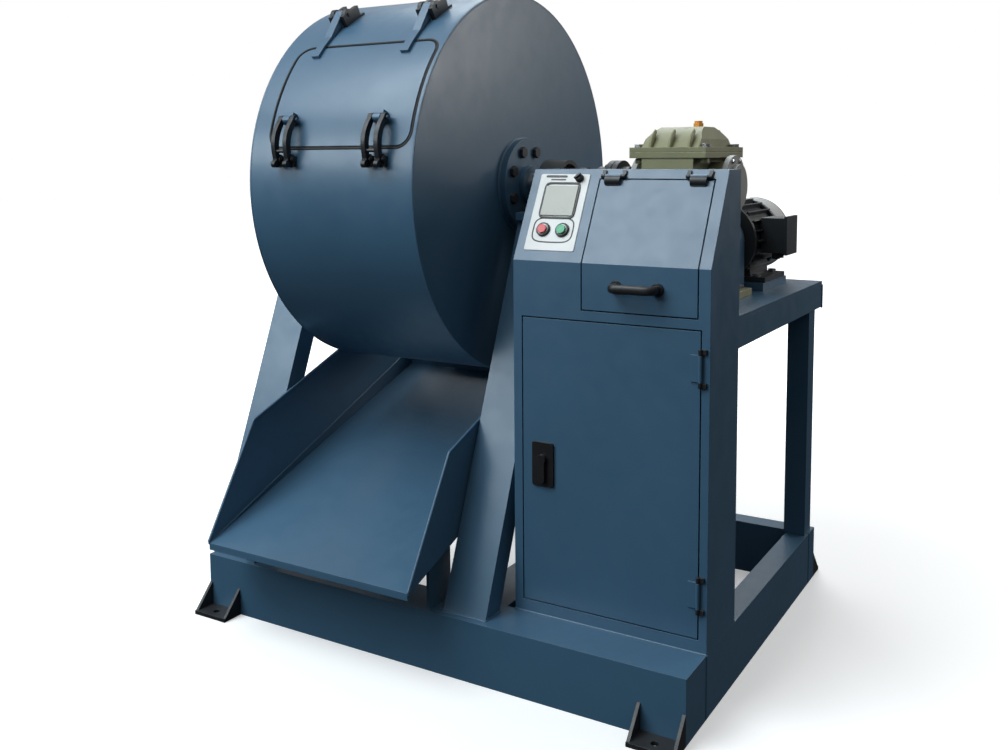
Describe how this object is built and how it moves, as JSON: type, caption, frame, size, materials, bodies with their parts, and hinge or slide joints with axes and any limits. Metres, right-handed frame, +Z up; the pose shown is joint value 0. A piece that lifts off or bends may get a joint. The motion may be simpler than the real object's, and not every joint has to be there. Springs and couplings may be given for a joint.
{
  "type": "tumbling drum tester",
  "caption": "Motorised tumbling drum on two trestles with a hatch, discharge chute, worm gear drive and a control console on a welded base frame.",
  "frame": {"origin": "on the floor, in the middle of the overall box's footprint", "axes": "+X along the drum's axle towards the console and drive, -Y out of the chute's mouth, +Z up"},
  "size_m": [1.4, 1.2, 1.6728],
  "materials": {
    "blue_paint": "hammer-free satin enamel, blue-grey",
    "black_paint": "satin black enamel",
    "cast_black": "painted casting",
    "steel": "machined",
    "olive_casting": "olive painted casting",
    "grey_casting": "bare grey casting",
    "motor_casting": "dark grey painted casting",
    "cowl_sheet": "light grey sheet",
    "bronze": "machined bronze",
    "copper": "laminations and windings",
    "seal_rubber": "matt black",
    "plate_white": "satin white panel",
    "display_grey": "grey window in a dark bezel",
    "black_plastic": "moulded, fine grain",
    "red_plastic": "moulded",
    "green_plastic": "moulded",
    "orange_plastic": "moulded",
    "switchgear_mix": "moulded cases on a steel panel"
  },
  "bodies": {
    "root": {"front_beam": "blue_paint", "rear_beam": "blue_paint", "cross_beams": "blue_paint", "anchor_feet": "black_paint", "left_legs": "blue_paint", "right_legs": "blue_paint", "bearing_plates": "blue_paint", "bearing_housings": "cast_black", "bearing_rings": "steel", "frame_bolts": "steel", "chute_floor": "blue_paint", "chute_walls": "blue_paint", "chute_brackets": "blue_paint", "cabinet_shell": "blue_paint", "switchgear": "switchgear_mix", "control_plate": "plate_white", "counter_display": "display_grey", "cabinet_hinges": "black_paint", "table_top": "blue_paint", "table_frame": "blue_paint", "motor_rails": "blue_paint", "gearbox_housing": "olive_casting", "gearbox_cover": "olive_casting", "gearbox_side_covers": "grey_casting", "gearbox_breather": "orange_plastic", "motor_frame": "motor_casting", "motor_end_shields": "motor_casting", "motor_stator": "copper", "motor_cowl": "cowl_sheet", "terminal_box": "motor_casting", "coupling_guard": "blue_paint", "pulse_sensor": "steel"},
    "drum": {"drum_shell": "blue_paint", "drum_ends": "blue_paint", "hub_flanges": "blue_paint", "stub_shafts": "steel", "hub_bolts": "black_paint", "lifters": "blue_paint", "shaft_coupling": "cast_black", "counter_cam": "black_paint", "worm_wheel": "bronze", "hinge_blocks": "black_paint", "clamp_keepers": "black_paint"},
    "hatch": {"hatch_panel": "blue_paint", "hatch_seal": "seal_rubber", "hinge_straps": "blue_paint", "clamp_ears": "blue_paint"},
    "left_clamp": {"left_clamp": "black_paint"},
    "right_clamp": {"right_clamp": "black_paint"},
    "motor_rotor": {"motor_shaft": "steel", "motor_fan": "black_plastic", "worm_shaft": "steel", "motor_coupling": "cast_black"},
    "cabinet_door": {"cabinet_door": "blue_paint", "latch_housing": "black_plastic"},
    "door_latch": {"door_latch": "black_plastic"},
    "console_lid": {"console_lid": "blue_paint", "lid_handle": "black_plastic"},
    "stop_button": {"stop_button": "red_plastic"},
    "start_button": {"start_button": "green_plastic"}
  },
  "joints": [
    {"name": "drum_spin", "type": "hinge", "parent": "root", "child": "drum", "pos_m": [-0.242, 0.02, 1.165], "axis": [1, 0, 0], "continuous": true},
    {"name": "motor_spin", "type": "hinge", "parent": "root", "child": "motor_rotor", "pos_m": [0.495, 0.214, 1.01], "axis": [0, 1, 0], "continuous": true},
    {"name": "hatch_swing", "type": "hinge", "parent": "drum", "child": "hatch", "pos_m": [-0.231, -0.26245, 1.61701], "axis": [-1, 0, 0], "range_deg": [0, 105]},
    {"name": "left_clamp_swing", "type": "hinge", "parent": "hatch", "child": "left_clamp", "pos_m": [-0.373, -0.47545, 1.3356], "axis": [-1, 0, 0], "range_deg": [0, 100]},
    {"name": "right_clamp_swing", "type": "hinge", "parent": "hatch", "child": "right_clamp", "pos_m": [-0.089, -0.47545, 1.3356], "axis": [-1, 0, 0], "range_deg": [0, 100]},
    {"name": "cabinet_door_swing", "type": "hinge", "parent": "root", "child": "cabinet_door", "pos_m": [0.6795, -0.37, 0.5], "axis": [0, 0, 1], "range_deg": [0, 110]},
    {"name": "door_latch_turn", "type": "hinge", "parent": "cabinet_door", "child": "door_latch", "pos_m": [0.293, -0.365, 0.535], "axis": [0, 1, 0], "range_deg": [0, 90]},
    {"name": "console_lid_swing", "type": "hinge", "parent": "root", "child": "console_lid", "pos_m": [0.543, -0.27151, 1.19499], "axis": [-1, 0, 0], "range_deg": [0, 100]},
    {"name": "stop_button_press", "type": "slide", "parent": "root", "child": "stop_button", "axis": [0, 0.8884, -0.4591], "range_m": [0, 0.004], "stiffness_N_per_m": 600, "springref_m": -0.002},
    {"name": "start_button_press", "type": "slide", "parent": "root", "child": "start_button", "axis": [0, 0.8884, -0.4591], "range_m": [0, 0.004], "stiffness_N_per_m": 600, "springref_m": -0.002}
  ],
  "couplings": [
    {"joint": "motor_spin", "follows": "drum_spin", "ratio": 60}
  ]
}
